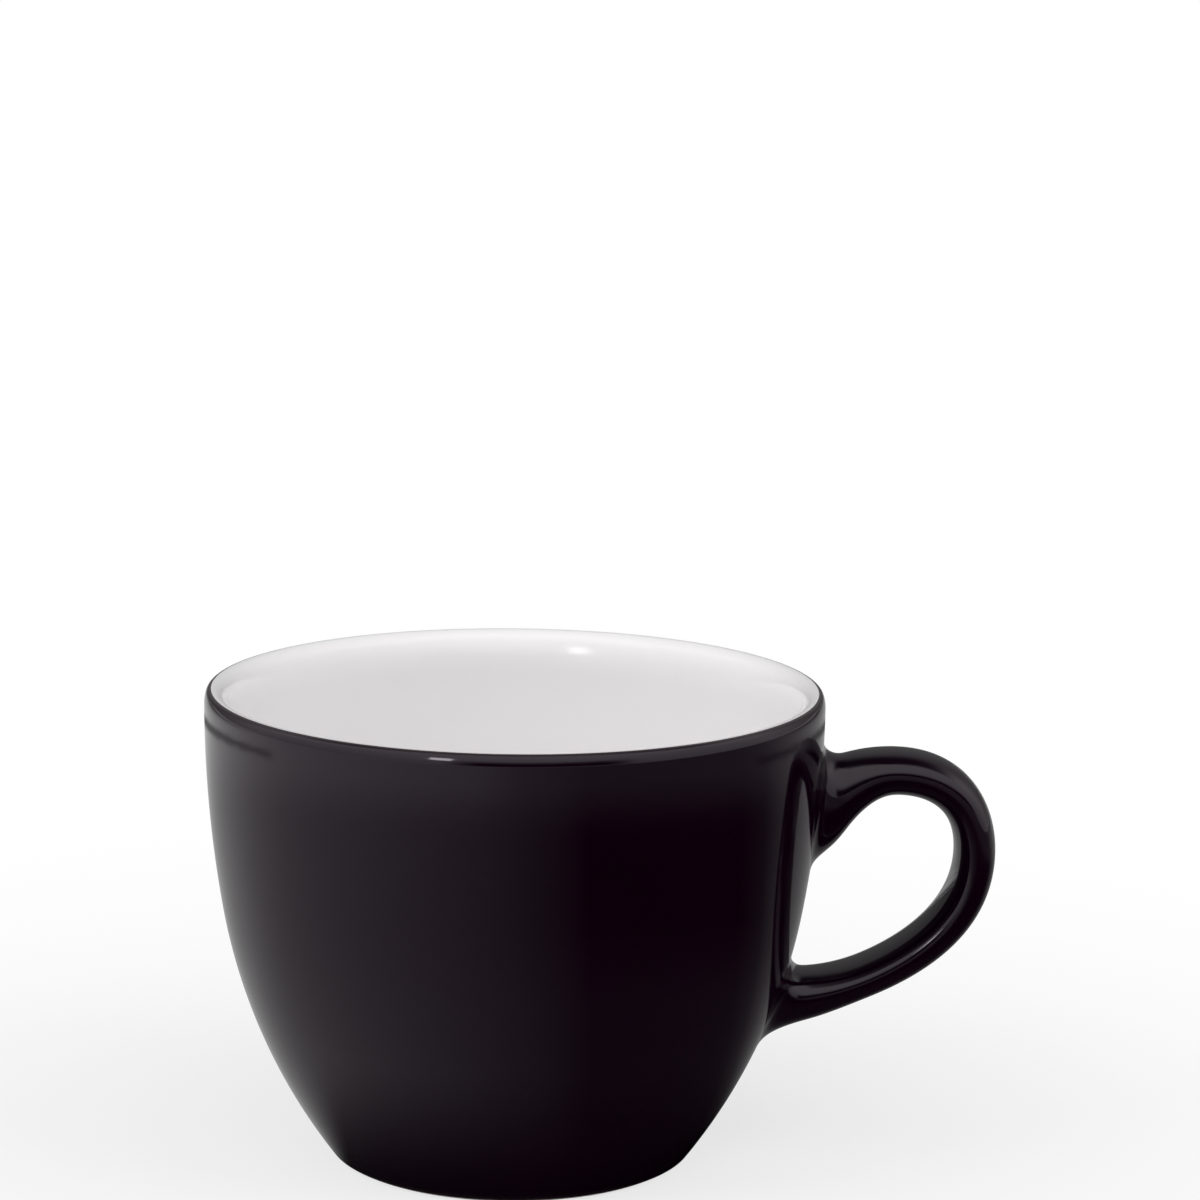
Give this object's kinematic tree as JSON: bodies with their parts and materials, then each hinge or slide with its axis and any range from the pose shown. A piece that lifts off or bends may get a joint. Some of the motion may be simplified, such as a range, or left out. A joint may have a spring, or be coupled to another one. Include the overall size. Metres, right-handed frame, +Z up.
{
  "type": "espresso cup",
  "caption": "Small thick-walled porcelain cup, glazed white inside and glossy black outside, with a rounded loop handle and a bare standing ring.",
  "frame": {"origin": "On the cup's axis, in the plane of the bare ring that it stands on.", "axes": "+Z up along the cup's axis, +X from the axis through the middle of the handle, +Y across the handle."},
  "size_m": [0.0822, 0.064, 0.0493],
  "materials": {
    "bare_porcelain": "fired porcelain, unglazed and wiped smooth",
    "white_glaze": "glossy white glaze",
    "black_glaze": "glossy black glaze with a faint violet cast",
    "luting_slip": "fired casting slip, under the glaze"
  },
  "bodies": {
    "root": {"cup_body": "bare_porcelain", "inner_glaze": "white_glaze", "outer_glaze": "black_glaze", "base_glaze": "black_glaze", "handle": "bare_porcelain", "handle_glaze": "black_glaze", "upper_slip_joint": "luting_slip", "lower_slip_joint": "luting_slip"}
  },
  "joints": []
}
